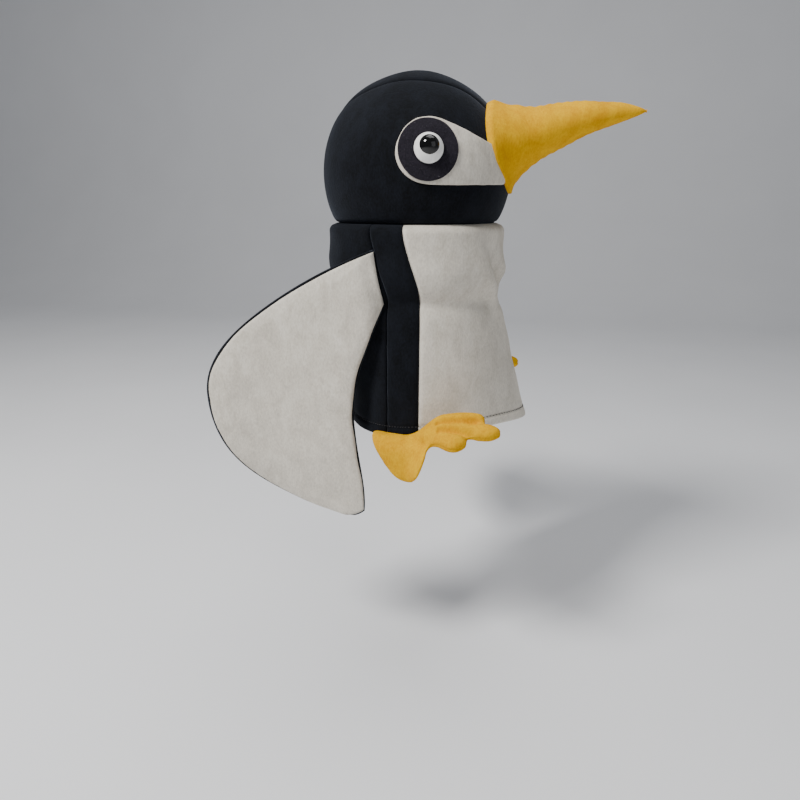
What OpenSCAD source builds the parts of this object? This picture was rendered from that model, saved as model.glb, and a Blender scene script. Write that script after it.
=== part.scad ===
// Plush penguin cap: a stuffed penguin head on a soft tube that is pulled over the wearer's head.
// Millimetres. The penguin faces +X, its left side is +Y, and Z = 0 is the hem around the opening.

/* [Body tube] */
// Height of the neck seam above the hem
neck_z = 210; // [170:1:260]
// Reach of the hem in front of the neck's axis
hem_front = 126; // [104:1:160]
// Reach of the hem behind the neck's axis
hem_back = 72; // [60:1:90]
// Half width of the hem
hem_half = 93; // [78:1:115]
// Height at which the wearer's crown ends and the stuffed neck starts
crown_z = 132; // [105:1:160]
// Reach of the tube in front of the axis at the crown crease
crown_front = 90; // [75:1:108]
// Reach of the tube behind the axis at the crown crease
crown_back = 84; // [72:1:100]
// Half width of the tube at the crown crease
crown_half = 88; // [74:1:106]
// Radius of the tube just under the neck seam
neck_r = 92; // [78:1:104]
// How far the tube rounds inwards to meet the head
shoulder = 8; // [4:1:12]
// Corner power of the hem in front, 2 being an ellipse
hem_power = 1.6; // [1.4:0.1:2]
// Width of one black side strip
strip_w = 33; // [20:1:44]
// Thickness of the plush cloth
plush_t = 3; // [2:0.5:4]
// Thickness of the lining cloth
lining_t = 1.2; // [0.8:0.1:2]
// Height of the turned hem inside the opening
hem_h = 12; // [6:1:20]

/* [Head] */
// Outer radius of the stuffed head
head_r = 96; // [80:1:112]
// Half width of the gusset over the top of the head
gusset_half = 51; // [30:1:60]
// Half width of the gusset's ends, over the beak and at the nape
gusset_end_half = 6; // [3:1:12]

/* [Beak] */
// Length of the beak in front of its root section
beak_len = 125; // [90:1:150]
// Half height of the beak at its root
beak_half_h = 38; // [30:1:46]
// Half width of the beak at its root
beak_half_w = 44; // [32:1:50]
// Half width of the beak's rim on the face
beak_rim_half_w = 60; // [48:1:60]
// Half height of the rim where the beak is sewn to the face
beak_rim_half_h = 44; // [36:1:50]
// How far the beak curves upwards from root to tip
beak_rise = 31; // [10:1:45]
// Radius of the tip
beak_tip_r = 5; // [3:0.5:9]

/* [Eyes] */
// Forward place of the eye on the head
eye_x = 23.5; // [10:0.5:34]
// Height of the eye above the middle of the head
eye_up = 18; // [6:0.5:26]
// Diameter of the black felt disc
felt_d = 54; // [40:1:56]
// Thickness of the felt
felt_t = 1.5; // [1:0.1:3]
// Radius of the round end of the white eye patch
patch_r = 29; // [28:0.5:34]
// Diameter of the white eyeball
eyeball_d = 26; // [18:0.5:32]
// Height of the white eyeball
eyeball_h = 7; // [5:0.5:9]
// Diameter of the black pupil
pupil_d = 17.5; // [10:0.5:19]
// Height of the pupil's dome
pupil_h = 5.5; // [3:0.5:7]
// Diameter of the eye's shank
shank_d = 5; // [3:0.5:7]
// Diameter of the washer that locks the shank
washer_d = 18; // [12:0.5:22]

/* [Wings] */
// Distance from the neck seam down to the top of the wing seam
wing_seam_drop = 22; // [16:1:40]
// Height of the wing seam from its top to its bottom
wing_seam_h = 53; // [40:1:80]
// Reach of the wing behind the neck's axis
wing_reach = 205; // [160:1:240]
// Depth of the wing tip below the hem
wing_drop = 94; // [40:1:120]
// How far the wing seam lies inside the widest half width of the tube
wing_seat = 2.7; // [0:0.1:2.7]
// Thickness of the wing's wadding
wadding_t = 3.5; // [2:0.5:8]
// How far the left wing stands out at rest, in degrees
left_splay = 60; // [0:5:90]

/* [Feet] */
// Length of a foot from heel to toe tip
foot_len = 132; // [110:1:150]
// Depth of the heel below its seam
heel_drop = 50; // [36:1:60]
// Half thickness of the stuffed foot
foot_half_t = 7.5; // [5:0.5:9]
// Thickness of the foot's cloth
foot_cloth_t = 2; // [1.5:0.5:3]
// Distance of a foot's seam outside the widest half width of the hem
foot_gap = 6; // [5.5:0.5:12]
// Height of the toes above the hem
toe_lift = 24; // [8:1:30]
// Slope of the toes towards the ground, in degrees
toe_slope = 22; // [0:1:40]

// How much further forward than the right foot the left foot is sewn
left_foot_ahead = 14; // [0:1:20]

/* [Hidden] */
$fn = 96;

ease = 0.3;                                  // gap between neighbouring soft pieces
black_plush = "#14161c";
white_plush = "#e4e1d6";
yellow_plush = "#f5b40c";

neck_seam_r = min(neck_r - shoulder, 0.95 * head_r);
head_z = neck_z + sqrt(head_r * head_r - neck_seam_r * neck_seam_r);
gusset_bulge = gusset_half - gusset_end_half;
gusset_r = (head_r * head_r + gusset_bulge * gusset_bulge) / (2 * gusset_bulge);

seam_neck_x = 0;                             // the white front's edge at the neck seam
seam_hem_x = 17;                             // and from the crown crease down to the hem
seam_kink_z = crown_z + 4;

wing_t = 2 * plush_t + wadding_t;
wing_y = max(neck_r, crown_half) - wing_seat;
wing_seam_z = neck_z - wing_seam_drop - wing_seam_h;
wing_root_top = [-28, wing_seam_z + wing_seam_h];
wing_root_low = [-18.5, wing_seam_z];

foot_start_x = -31;                          // back end of the heel's seam
foot_hinge_z = 0;
foot_y = hem_half + foot_gap;
toe_tuck = 2;                                // how far the toes' seam line lies nearer the body

// ---- small helpers -------------------------------------------------------------------------

function mix(a, b, f) = a + (b - a) * f;
function clamp01(v) = min(1, max(0, v));
function ease_curve(f) = let (q = clamp01(f)) q * q * (3 - 2 * q);
function signed_power(v, p) = sign(v) * pow(abs(v), p);

// Both triangles of a four-cornered face
function halves(q) = [[q[0], q[1], q[2]], [q[0], q[2], q[3]]];

// Triangles of a grid of rows x cols points that starts at index base
function grid_faces(rows, cols, base, inward, wrap) =
    [for (i = [0:rows - 2]) for (j = [0:wrap ? cols - 1 : cols - 2])
        let (a = base + i * cols + j,
             b = base + i * cols + (j + 1) % cols,
             c = base + (i + 1) * cols + (j + 1) % cols,
             d = base + (i + 1) * cols + j)
        each halves(inward ? [a, b, c, d] : [a, d, c, b])];

// A closed wall between an outer and an inner grid of points
module wall(outer, inner, wrap = false) {
    rows = len(outer);
    cols = len(outer[0]);
    inner_base = rows * cols;
    top = (rows - 1) * cols;
    steps = wrap ? cols - 1 : cols - 2;
    last = cols - 1;
    rim_faces = [for (j = [0:steps]) let (k = (j + 1) % cols)
        each concat(halves([j, k, inner_base + k, inner_base + j]),
                    halves([top + k, top + j, inner_base + top + j, inner_base + top + k]))];
    end_faces = wrap ? [] : [for (i = [0:rows - 2]) let (p = i * cols, q = (i + 1) * cols)
        each concat(halves([q, p, inner_base + p, inner_base + q]),
                    halves([p + last, q + last, inner_base + q + last, inner_base + p + last]))];
    polyhedron(points = concat([for (row = outer) each row], [for (row = inner) each row]),
               faces = concat(grid_faces(rows, cols, 0, false, wrap),
                              grid_faces(rows, cols, inner_base, true, wrap),
                              rim_faces, end_faces));
}

// A closed solid from rings of points, with a fan to one point at each end
module plug(rings, low, high) {
    rows = len(rings);
    cols = len(rings[0]);
    top = (rows - 1) * cols;
    low_point = rows * cols;
    polyhedron(points = concat([for (ring = rings) each ring], [low, high]),
               faces = concat(grid_faces(rows, cols, 0, false, true),
                              [for (j = [0:cols - 1]) [j, (j + 1) % cols, low_point]],
                              [for (j = [0:cols - 1]) [top + (j + 1) % cols, top + j, low_point + 1]]));
}

// ---- body tube -----------------------------------------------------------------------------

// A reach of the tube at height z, from its values at the hem, the crown crease and the neck
function tube_reach(z, hem, crown) =
    let (upper = ease_curve((z - crown_z) / (0.6 * (neck_z - crown_z))),
         open = z < crown_z ? mix(hem, crown, z / crown_z) : mix(crown, neck_r, upper),
         tuck = clamp01((z - (neck_z - shoulder)) / shoulder))
    open - (neck_r - neck_seam_r) * (1 - sqrt(1 - tuck * tuck));

function tube_power(z) = mix(hem_power, 2, clamp01(z / crown_z));

// The tube's surface at angle t from straight ahead and height z, moved inwards by inset
function tube_point(t, z, inset) =
    let (ahead = cos(t) >= 0,
         long = tube_reach(z, ahead ? hem_front : hem_back, ahead ? crown_front : crown_back) - inset,
         half = tube_reach(z, hem_half, crown_half) - inset,
         power = 2 / (ahead ? tube_power(z) : 2))
    [long * signed_power(cos(t), power), half * signed_power(sin(t), power), z];

// The angle at which the tube's surface is at forward place x
function tube_angle(x, z) =
    x >= 0 ? acos(pow(x / tube_reach(z, hem_front, crown_front), tube_power(z) / 2))
           : 180 - acos(-x / tube_reach(z, hem_back, crown_back));

function seam_x(z) = mix(seam_hem_x, seam_neck_x, ease_curve((z - seam_kink_z) / (neck_z - seam_kink_z)));
function front_edge(z) = tube_angle(seam_x(z), z);
function back_edge(z) = tube_angle(seam_x(z) - strip_w, z);

tube_levels = concat([for (k = [0:14]) (neck_z - shoulder) * k / 14], [neck_z - shoulder / 3, neck_z]);

module tube_panel(from, to, cols) {
    grid = function (inset) [for (k = [0:len(tube_levels) - 1])
        [for (j = [0:cols]) tube_point(mix(from[k], to[k], j / cols), tube_levels[k], inset)]];
    wall(grid(0), grid(plush_t));
}

front_edges = [for (z = tube_levels) front_edge(z)];
back_edges = [for (z = tube_levels) back_edge(z)];

module front_panel() {
    color(white_plush) tube_panel(-front_edges, front_edges, 26);
}

module left_side_strip() {
    color(black_plush) tube_panel(front_edges, back_edges, 3);
}

module right_side_strip() {
    color(black_plush) tube_panel(-back_edges, -front_edges, 3);
}

module back_panel() {
    behind = [for (edge = back_edges) 360 - edge];
    color(black_plush) tube_panel(back_edges, behind, 16);
}

module hem_facing() {
    grid = function (inset) [for (z = [0.5, hem_h]) [for (t = [0:10:350]) tube_point(t, z, inset)]];
    color(black_plush) wall(grid(plush_t + ease), grid(plush_t + ease + lining_t), wrap = true);
}

// The lining follows the tube up to dome_z and closes over the crown of the head
lining_inset = plush_t + 2 * ease + lining_t;
lining_low = 0.5;
dome_z = crown_z * 0.5;
dome_top = crown_z - 2 * ease;
straight_rows = 4;
dome_rows = 8;
dome_turn = 89.8;                            // just short of a right angle, so the top stays open

function lining_point(t, row, inset) =
    let (straight = row < straight_rows,
         rise = clamp01((row - straight_rows) / dome_rows) * dome_turn,
         z = straight ? mix(lining_low, dome_z, row / straight_rows)
                      : mix(dome_z, dome_top - inset, sin(rise)),
         base = tube_point(t, min(z, dome_z), lining_inset + inset),
         shrink = straight ? 1 : cos(rise))
    [base[0] * shrink, base[1] * shrink, z];

module lining_half(from) {
    grid = function (inset) [for (row = [0:straight_rows + dome_rows])
        [for (j = [0:18]) lining_point(from + 10 * j, row, inset)]];
    color("#2b2d33") wall(grid(0), grid(lining_t));
}

module lining_left() {
    lining_half(0);
}

module lining_right() {
    lining_half(180);
}

module neck_filling() {
    top = neck_z - ease;
    levels = concat([crown_z], [for (z = tube_levels) if (z > crown_z) z]);
    ring = function (z) [for (t = [0:10:350])
        let (p = tube_point(t, z, plush_t + 3 * ease)) [p[0], p[1], min(z, top)]];
    color("white") plug([for (z = levels) ring(z)], [0, 0, crown_z], [0, 0, top]);
}

// ---- head ----------------------------------------------------------------------------------

module ball(r) {
    translate([0, 0, head_z]) sphere(r = r);
}

// The gusset seen from above: two arcs that close in towards the beak and the nape
module gusset_outline() {
    offset_y = gusset_r - gusset_half;
    intersection() {
        translate([0, offset_y]) circle(r = gusset_r);
        translate([0, -offset_y]) circle(r = gusset_r);
    }
}

module gusset_prism() {
    translate([0, 0, head_z]) linear_extrude(head_r + 1) gusset_outline();
}

module above_neck() {
    translate([-2 * head_r, -2 * head_r, neck_z]) cube([4 * head_r, 4 * head_r, 3 * head_r]);
}

module head_skin() {
    intersection() {
        difference() {
            ball(head_r);
            ball(head_r - plush_t);
        }
        above_neck();
    }
}

// Runs its children along the eye's axis, with the head's surface at radius head_r
module at_eye(side) {
    reach = [eye_x, side * sqrt(head_r * head_r - eye_x * eye_x - eye_up * eye_up), eye_up];
    turn = atan2(reach[1], reach[0]);
    tilt = acos(reach[2] / norm(reach));
    translate([0, 0, head_z]) rotate([0, tilt, turn]) children();
}

module shank_hole(side) {
    at_eye(side) translate([0, 0, head_r - 4 * plush_t]) cylinder(d = shank_d + ease, h = 30);
}

module side_half(side) {
    translate([-2 * head_r, side > 0 ? 0 : -2 * head_r, 0]) cube([4 * head_r, 2 * head_r, 2 * head_z]);
}

module head_panel(side) {
    color(black_plush) difference() {
        intersection() {
            head_skin();
            side_half(side);
        }
        gusset_prism();
        shank_hole(side);
    }
}

module head_left_panel() {
    head_panel(1);
}

module head_right_panel() {
    head_panel(-1);
}

module head_gusset() {
    color(black_plush) intersection() {
        head_skin();
        gusset_prism();
    }
}

washer_t = 1.6;
washer_gap = 0.6;
washer_low = head_r - plush_t - washer_gap - washer_t;
shank_low = washer_low - 3;

module head_filling() {
    color("white") difference() {
        intersection() {
            ball(head_r - plush_t - ease);
            above_neck();
        }
        for (side = [-1, 1]) at_eye(side)
            translate([0, 0, shank_low - 1]) cylinder(d = washer_d + 1, h = 20);
    }
}

// ---- eyes ----------------------------------------------------------------------------------

patch_low = head_r + ease;
patch_high = patch_low + plush_t - 0.5;
felt_low = patch_high + ease;
eyeball_low = felt_low + felt_t + ease;

// The white patch seen from the side: a round end behind, a straight lower edge, a sloping top
module patch_outline() {
    round_end = [for (a = [66:12:270]) [eye_x + patch_r * cos(a), eye_up + patch_r * sin(a)]];
    polygon(concat(round_end, [[eye_x, eye_up - patch_r], [head_r - 20, eye_up - patch_r],
                               [head_r - 28.5, eye_up + 7]]));
}

module eye_patch(side) {
    color(white_plush) difference() {
        intersection() {
            difference() {
                ball(patch_high);
                ball(patch_low);
            }
            translate([0, 0, head_z]) rotate([90, 0, 0])
                translate([0, 0, side > 0 ? -2 * head_r : 0]) linear_extrude(2 * head_r) patch_outline();
        }
        shank_hole(side);
        beak_cone(1);
    }
}

module eye_felt(side) {
    color("#26222a") difference() {
        intersection() {
            difference() {
                ball(felt_low + felt_t);
                ball(felt_low);
            }
            at_eye(side) translate([0, 0, head_r / 2]) cylinder(d = felt_d, h = head_r);
        }
        shank_hole(side);
    }
}

// A dome of the given width and height that stands on z = 0
module dome(d, h) {
    r = (d * d / 4 + h * h) / (2 * h);
    rotate_extrude() intersection() {
        translate([0, h - r]) circle(r = r);
        square([d, h + 1]);
    }
}

seat_r = 0.4 * pupil_d;                      // the pupil's foot stands in a seat in the eyeball
seat_depth = 1.5;

module eyeball(side) {
    color("white") at_eye(side) translate([0, 0, eyeball_low]) difference() {
        union() {
            dome(eyeball_d, eyeball_h);
            translate([0, 0, shank_low - eyeball_low]) cylinder(d = shank_d, h = eyeball_low - shank_low + 1);
        }
        translate([0, 0, eyeball_h - seat_depth]) cylinder(r = seat_r, h = 4);
    }
}

module pupil(side) {
    color("#08080a") at_eye(side) translate([0, 0, eyeball_low + eyeball_h - seat_depth]) union() {
        cylinder(r = seat_r - 0.1, h = seat_depth + 0.1);
        translate([0, 0, seat_depth]) dome(pupil_d, pupil_h);
    }
}

module eye_washer(side) {
    color("#c8c8c4") at_eye(side) translate([0, 0, washer_low]) difference() {
        cylinder(d = washer_d, h = washer_t);
        translate([0, 0, -1]) cylinder(d = shank_d + 0.1, h = washer_t + 2);
    }
}

module right_eye_patch() {
    eye_patch(-1);
}

module left_eye_patch() {
    eye_patch(1);
}

module right_eye_felt() {
    eye_felt(-1);
}

module left_eye_felt() {
    eye_felt(1);
}

module right_eyeball() {
    eyeball(-1);
}

module left_eyeball() {
    eyeball(1);
}

module right_pupil() {
    pupil(-1);
}

module left_pupil() {
    pupil(1);
}

module right_eye_washer() {
    eye_washer(-1);
}

module left_eye_washer() {
    eye_washer(1);
}

// ---- beak ----------------------------------------------------------------------------------

beak_root_x = head_r - 3;
beak_root_up = 25;                           // height of the root's middle above the head's middle
beak_rim_up = 31;                            // and of the rim's middle, on the rim's plane
beak_rim_x = head_r - 14;                    // forward place of the plane that the rim is drawn on
beak_point = 0.5;                            // the smallest half width of a section
flare = 0.28;                                // share of the root's size that closes in quickly
flare_run = 0.12;                            // share of the length over which it does

// The cone from the head's middle through the beak's rim, widened by gap
module beak_cone(gap) {
    far = 2;
    translate([0, 0, head_z]) hull() {
        cube(0.01, center = true);
        translate([far * beak_rim_x, 0, far * beak_rim_up]) rotate([0, 90, 0])
            scale([far * (beak_rim_half_h + gap), far * (beak_rim_half_w + gap), 1]) cylinder(r = 1, h = 0.01);
    }
}

// A point at share f of the way from the middle of the rim to the rim itself, where the beak is sewn
// round on the face, lifted off the face by lift
function beak_rim(u, f, inset, lift) =
    let (aim = [beak_rim_x, f * (beak_rim_half_w - inset) * cos(u),
                beak_rim_up + f * (beak_rim_half_h - inset) * sin(u)])
    [0, 0, head_z] + (head_r + lift) * aim / norm(aim);

// A point of the section at share s of the beak's length
function beak_section(u, s, inset) =
    let (taper = (1 - s) * (1 - flare + flare * exp(-s / flare_run)),
         blunt = beak_tip_r * sqrt(1 - pow(s, 8)),
         half_h = max((beak_half_h - beak_tip_r) * taper + blunt - inset, beak_point),
         half_w = max((beak_half_w - beak_tip_r) * taper + blunt - inset, beak_point))
    [beak_root_x + beak_len * s, half_w * cos(u),
     head_z + beak_root_up + beak_rise * (1 - (1 - s) * (1 - s)) + half_h * sin(u)];

beak_shares = [0.04, 0.1, 0.18, 0.28, 0.4, 0.53, 0.67, 0.8, 0.9, 0.96, 0.99];

module beak_panel(from) {
    grid = function (inset) concat(
        [[for (j = [0:12]) beak_rim(from + 15 * j, 1, inset, ease)]],
        [for (s = beak_shares) [for (j = [0:12]) beak_section(from + 15 * j, s, inset)]]);
    color(yellow_plush) wall(grid(0), grid(plush_t - 0.5));
}

module beak_left_panel() {
    beak_panel(-90);
}

module beak_right_panel() {
    beak_panel(90);
}

module beak_filling() {
    inset = plush_t - 0.5 + ease;
    angles = [for (j = [0:23]) 15 * j];
    lift = 3 * ease;
    face_rings = [for (f = [0.2, 0.4, 0.6, 0.8, 0.94]) [for (u = angles) beak_rim(u, f, inset, lift)]];
    body_rings = [for (s = beak_shares) [for (u = angles) beak_section(u, s, inset)]];
    color("white") plug(concat(face_rings, body_rings), beak_rim(0, 0, inset, lift),
                        beak_section(0, 0.995, inset) - [0, beak_point, 0]);
}

// ---- wings ---------------------------------------------------------------------------------

function bezier(a, b, c, d, steps) = [for (k = [0:steps - 1]) let (f = k / steps, g = 1 - f)
    g * g * g * a + 3 * g * g * f * b + 3 * g * f * f * c + f * f * f * d];

wing_tip = [-49, -wing_drop];
wing_wide = [-wing_reach, wing_seam_z - 95];
wing_waist = [-49, wing_seam_z - 120];
wing_outline = concat(
    bezier(wing_root_top, wing_root_top + [-62, -23], wing_wide + [0, 65], wing_wide, 12),
    bezier(wing_wide, wing_wide - [0, 80], wing_tip + [-81, 9], wing_tip, 12),
    bezier(wing_tip, wing_tip + [16, 0], [-40, mix(-wing_drop, wing_waist[1], 0.4)], wing_waist, 8),
    bezier(wing_waist, wing_waist + [-2, 47], wing_root_low - [15.5, 43], wing_root_low, 8),
    [wing_root_low]);

// One layer of a folded wing, from distance low to distance high outside the hinge plane
module wing_layer(low, high, margin) {
    rotate([90, 0, 0]) translate([0, 0, wing_y + low]) linear_extrude(high - low)
        if (margin > 0) offset(delta = -margin) polygon(wing_outline);
        else polygon(wing_outline);
}

// Turns a folded right wing into the resting left wing
module as_left_wing() {
    lean = wing_root_top - wing_root_low;
    mirror([0, 1, 0]) translate([wing_root_low[0], -wing_y, wing_root_low[1]])
        rotate(a = left_splay, v = [lean[0], 0, lean[1]])
        translate([-wing_root_low[0], wing_y, -wing_root_low[1]]) children();
}

module right_wing_back() {
    color(black_plush) wing_layer(0, plush_t, 0);
}

module right_wing_wadding() {
    color("white") wing_layer(plush_t, plush_t + wadding_t, 4);
}

module right_wing_front() {
    color(white_plush) wing_layer(plush_t + wadding_t, wing_t, 0);
}

module left_wing_back() {
    as_left_wing() right_wing_back();
}

module left_wing_wadding() {
    as_left_wing() right_wing_wadding();
}

module left_wing_front() {
    as_left_wing() right_wing_front();
}

// ---- feet ----------------------------------------------------------------------------------

toe_x = foot_start_x + foot_len;

// The flat pattern of a foot: forward place, then distance from the seam line. Heel, then toes.
foot_corners = [
    [foot_start_x, 0], [-12, -1], [6, 0], [30, -3], [60, -11], [toe_x - 20, -10], [toe_x - 17, 0],
    [toe_x - 29, 5], [toe_x - 12, 4], [toe_x, 12], [toe_x - 11, 21], [toe_x - 31, 22],
    [toe_x - 33, 33], [55, 40], [38, 31], [27, 19], [29, heel_drop - 16], [17, heel_drop - 1],
    [-3, heel_drop - 3], [-20, heel_drop - 24]];

// A smooth closed curve through the corners
function curve_point(list, i, f) =
    let (n = len(list), a = list[(i + n - 1) % n], b = list[i], c = list[(i + 1) % n], d = list[(i + 2) % n])
    0.5 * (2 * b + (c - a) * f + (2 * a - 5 * b + 4 * c - d) * f * f + (3 * b - a - 3 * c + d) * f * f * f);

foot_curve = [for (i = [0:len(foot_corners) - 1]) for (f = [0, 0.5]) curve_point(foot_corners, i, f)];

spine_heel = [-2, 0.44 * heel_drop];         // the middle line of a foot, from the heel's middle
spine_toes = [toe_x - 43, 12];               // to the middle of the toes
spine_run = 40;

// The place on the foot's middle line that a point of the outline is filled from
function foot_spine(p) =
    let (x = min(spine_toes[0], max(spine_heel[0], p[0])))
    [x, mix(spine_heel[1], spine_toes[1], ease_curve(x / spine_run))];

// A flat point at share r of the way from the middle line to the outline
function foot_flat(p, r) = foot_spine(p) + r * (p - foot_spine(p));

// Bends the flat foot: the heel hangs down from the seam and the toes twist outwards
function foot_place(flat, rise) =
    let (turn = ease_curve((flat[0] - 4) / spine_run),
         angle = mix(90, toe_slope, turn),
         root_y = mix(foot_y, foot_y - toe_tuck, turn),
         root_z = mix(foot_hinge_z, toe_lift, turn))
    [flat[0],
     -(root_y + flat[1] * cos(angle) + rise * sin(angle)),
     root_z - flat[1] * sin(angle) + rise * cos(angle)];

function foot_height(r) = foot_cloth_t + (foot_half_t - foot_cloth_t) * sqrt(1 - r * r);

foot_shares = [1, 0.93, 0.78, 0.55, 0.25, 0.02];

// side is 1 for the upper cloth and -1 for the sole
module foot_cloth(side) {
    grid = function (drop) [for (r = foot_shares)
        [for (p = foot_curve) foot_place(foot_flat(p, r), side * (foot_height(r) - drop))]];
    color(yellow_plush) if (side > 0) wall(grid(foot_cloth_t), grid(0), wrap = true);
    else wall(grid(0), grid(foot_cloth_t), wrap = true);
}

module foot_filling() {
    shares = [for (r = foot_shares) if (r < 1) r];
    grid = function (side) [for (r = shares) [for (p = foot_curve)
        foot_place(foot_flat(p, r), side * (foot_height(r) - foot_cloth_t - 4 * ease))]];
    color("white") wall(grid(-1), grid(1), wrap = true);
}

module as_left_foot() {
    translate([left_foot_ahead, 0, 0]) mirror([0, 1, 0]) children();
}

module right_foot_top() {
    foot_cloth(1);
}

module right_foot_sole() {
    foot_cloth(-1);
}

module right_foot_filling() {
    foot_filling();
}

module left_foot_top() {
    as_left_foot() foot_cloth(1);
}

module left_foot_sole() {
    as_left_foot() foot_cloth(-1);
}

module left_foot_filling() {
    as_left_foot() foot_filling();
}

head_left_panel();
head_right_panel();
head_gusset();
head_filling();
neck_filling();
front_panel();
right_side_strip();
left_side_strip();
back_panel();
hem_facing();
lining_left();
lining_right();
beak_left_panel();
beak_right_panel();
beak_filling();
right_eye_patch();
left_eye_patch();
right_eye_felt();
left_eye_felt();
right_eyeball();
left_eyeball();
right_pupil();
left_pupil();
right_eye_washer();
left_eye_washer();
right_wing_back();
right_wing_wadding();
right_wing_front();
left_wing_back();
left_wing_wadding();
left_wing_front();
right_foot_top();
right_foot_sole();
right_foot_filling();
left_foot_top();
left_foot_sole();
left_foot_filling();
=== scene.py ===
# %% [markdown]
# # A plush penguin cap
# The real thing is a soft toy worn as a cap: a stuffed penguin head on a lined tube of plush, with two
# flat wings sewn to the sides of the tube and two stuffed feet sewn to its hem. The CAD frame already
# says where each piece is and how it moves. Here every cloth piece is worked out again as a smooth
# surface, with its seams, folds and pile. Units are metres; the penguin faces +X and its left is +Y.

# %% Load the frame
import math

import bmesh
import bpy
import numpy as np
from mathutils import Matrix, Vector


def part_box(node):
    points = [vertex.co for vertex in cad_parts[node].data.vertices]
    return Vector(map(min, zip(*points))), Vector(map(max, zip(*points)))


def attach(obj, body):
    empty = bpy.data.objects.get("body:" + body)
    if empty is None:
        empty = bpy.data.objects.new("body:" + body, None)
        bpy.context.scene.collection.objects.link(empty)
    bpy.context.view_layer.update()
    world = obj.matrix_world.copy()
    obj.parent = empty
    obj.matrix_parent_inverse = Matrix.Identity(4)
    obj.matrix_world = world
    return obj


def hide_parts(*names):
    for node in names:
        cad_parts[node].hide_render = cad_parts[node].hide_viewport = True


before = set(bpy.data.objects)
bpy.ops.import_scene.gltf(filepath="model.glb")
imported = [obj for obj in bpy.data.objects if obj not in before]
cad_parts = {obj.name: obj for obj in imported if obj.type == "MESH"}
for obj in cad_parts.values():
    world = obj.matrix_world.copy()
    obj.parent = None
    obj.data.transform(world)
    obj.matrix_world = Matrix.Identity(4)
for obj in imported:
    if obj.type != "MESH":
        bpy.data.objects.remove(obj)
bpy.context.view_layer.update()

MM = 0.001
scene = bpy.context.scene

# %% [markdown]
# ## Sizes
# The driving sizes come out of the frame's own boxes, so a surface made here lies where the CAD solid
# lies. What no box can tell, such as the waist of the tube at the wearer's crown, is named below.

# %% Read the sizes of the cap from the frame
neck_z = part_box("front_panel")[1].z
hem_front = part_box("front_panel")[1].x
hem_back = 72 * MM
hem_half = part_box("front_panel")[1].y
head_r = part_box("head_gusset")[1].x
head_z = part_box("head_gusset")[0].z
crown_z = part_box("neck_filling")[0].z
crown_front = 90 * MM
crown_back = 84 * MM
crown_half = 88 * MM
neck_r = 92 * MM
shoulder = 8 * MM
hem_power = 1.6
strip_w = 33 * MM
wing_y = -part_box("right_wing_back")[1].y
wing_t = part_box("right_wing_back")[1].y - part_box("right_wing_front")[0].y
print("neck seam at", round(neck_z, 4), "head radius", round(head_r, 4), "wing", round(wing_t, 4))

# %% [markdown]
# ## The camera
# It stands a little to the front of the penguin's right side and looks down by 18 degrees. The lens is a
# short one, close to the cap, so the far foot and the far wing look smaller and higher than the near ones.

# %% Camera
view_turn = math.radians(10)
view_drop = math.radians(18)
view_target = Vector((-17.2 * MM, -3.0 * MM, 12.0 * MM))
view_distance = 0.70
view_back = Vector((math.sin(view_turn) * math.cos(view_drop),
                    -math.cos(view_turn) * math.cos(view_drop),
                    math.sin(view_drop)))
camera = bpy.data.objects.new("camera", bpy.data.cameras.new("camera"))
camera.data.sensor_width = 36
camera.data.lens = 27.09
camera.location = view_target + view_back * view_distance
camera.rotation_mode = "QUATERNION"
camera.rotation_quaternion = (-view_back).to_track_quat("-Z", "Y")
scene.collection.objects.link(camera)
scene.camera = camera
print("camera at", [round(v, 4) for v in camera.location])

# %% [markdown]
# ## Small tools for surfaces
# Every new piece is a grid of points: rows along one direction and columns along the other. One
# function turns such a grid into a mesh, and a few others do the arithmetic that the shapes share.


# %% Arithmetic that the shapes share
def mix(a, b, f):
    """A value f of the way from a to b."""
    return a + (b - a) * f


def smooth(f):
    """An S-shaped ramp, 3f^2 - 2f^3, held at 0 below 0 and at 1 above 1."""
    f = np.clip(f, 0, 1)
    return f * f * (3 - 2 * f)


def bump(x, middle, width):
    """A bell of height 1 at the middle: exp(-((x - middle) / width)^2)."""
    return np.exp(-(((x - middle) / width) ** 2))


def signed_power(v, p):
    """The power p of the size of v, with v's own sign."""
    return np.sign(v) * np.abs(v) ** p


def unit(v):
    """Vectors divided by their lengths."""
    return v / np.linalg.norm(v, axis=-1, keepdims=True)


def join_xyz(x, y, z):
    """Points (..., 3) from three arrays that may be of different but fitting shapes."""
    return np.stack(np.broadcast_arrays(x, y, z), -1)


def full_turn(steps):
    """Angles that go once round, without the last one that would meet the first."""
    return np.linspace(0, 2 * math.pi, steps, endpoint=False)


def quarter_round(f):
    """A quarter circle's height at share f of its width."""
    return np.sqrt(1 - (1 - f) ** 2)


def lumps(points, size, seed):
    """Soft lumps of about the given size: a sum of five sines along fixed slanting directions."""
    draw = np.random.default_rng(seed)
    total = np.zeros(points.shape[:-1])
    for share in (1.0, 0.8, 0.6, 0.5, 0.4):
        heading = unit(draw.normal(size=3))
        turn = draw.uniform(0, 2 * math.pi)
        total += share * np.sin(points @ heading * (2 * math.pi / (size * (0.7 + share / 2))) + turn)
    return total / 2


# %% From a grid of points to a mesh
def new_object(name, points, faces):
    """A mesh object from points (n, 3) and lists of point numbers, linked and shaded smooth."""
    mesh = bpy.data.meshes.new(name)
    mesh.from_pydata(points.tolist(), [], faces)
    mesh.polygons.foreach_set("use_smooth", np.ones(len(mesh.polygons), bool))
    piece = bpy.data.objects.new(name, mesh)
    scene.collection.objects.link(piece)
    return piece


def grid_faces(index):
    """The quads between neighbouring entries of a 2-D array of point numbers."""
    quads = np.stack([index[:-1, :-1], index[:-1, 1:], index[1:, 1:], index[1:, :-1]], -1)
    return quads.reshape(-1, 4).tolist()


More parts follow.
